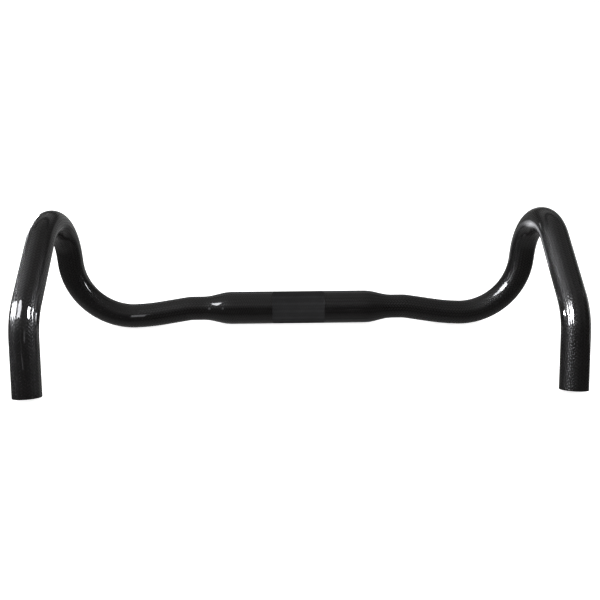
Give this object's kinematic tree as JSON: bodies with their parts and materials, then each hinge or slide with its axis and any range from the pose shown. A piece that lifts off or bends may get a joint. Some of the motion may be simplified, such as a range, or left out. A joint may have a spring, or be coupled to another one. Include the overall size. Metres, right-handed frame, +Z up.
{
  "type": "drop handlebar",
  "caption": "Bare carbon drop handlebar for a road bicycle: a round stem clamp zone, swept tops and curved hooks with open ends.",
  "frame": {"origin": "middle of the stem clamp zone, on the bar's axis", "axes": "+X along the clamp to the rider's left, +Z up as the bar stands on a table with its hooks up; on a bicycle its forward and up are +Z and +Y turned 12.3 degrees about X"},
  "size_m": [0.4746, 0.174, 0.1274],
  "materials": {
    "carbon_weave": "black twill carbon weave under a gloss clear coat",
    "raw_laminate": "bare moulded carbon laminate",
    "grip_coating": "fine anti-slip coating on the weave"
  },
  "bodies": {
    "root": {"centre_section": "carbon_weave", "left_hook": "carbon_weave", "right_hook": "carbon_weave", "left_joint_sleeve": "raw_laminate", "right_joint_sleeve": "raw_laminate", "clamp_band": "grip_coating"}
  },
  "joints": []
}
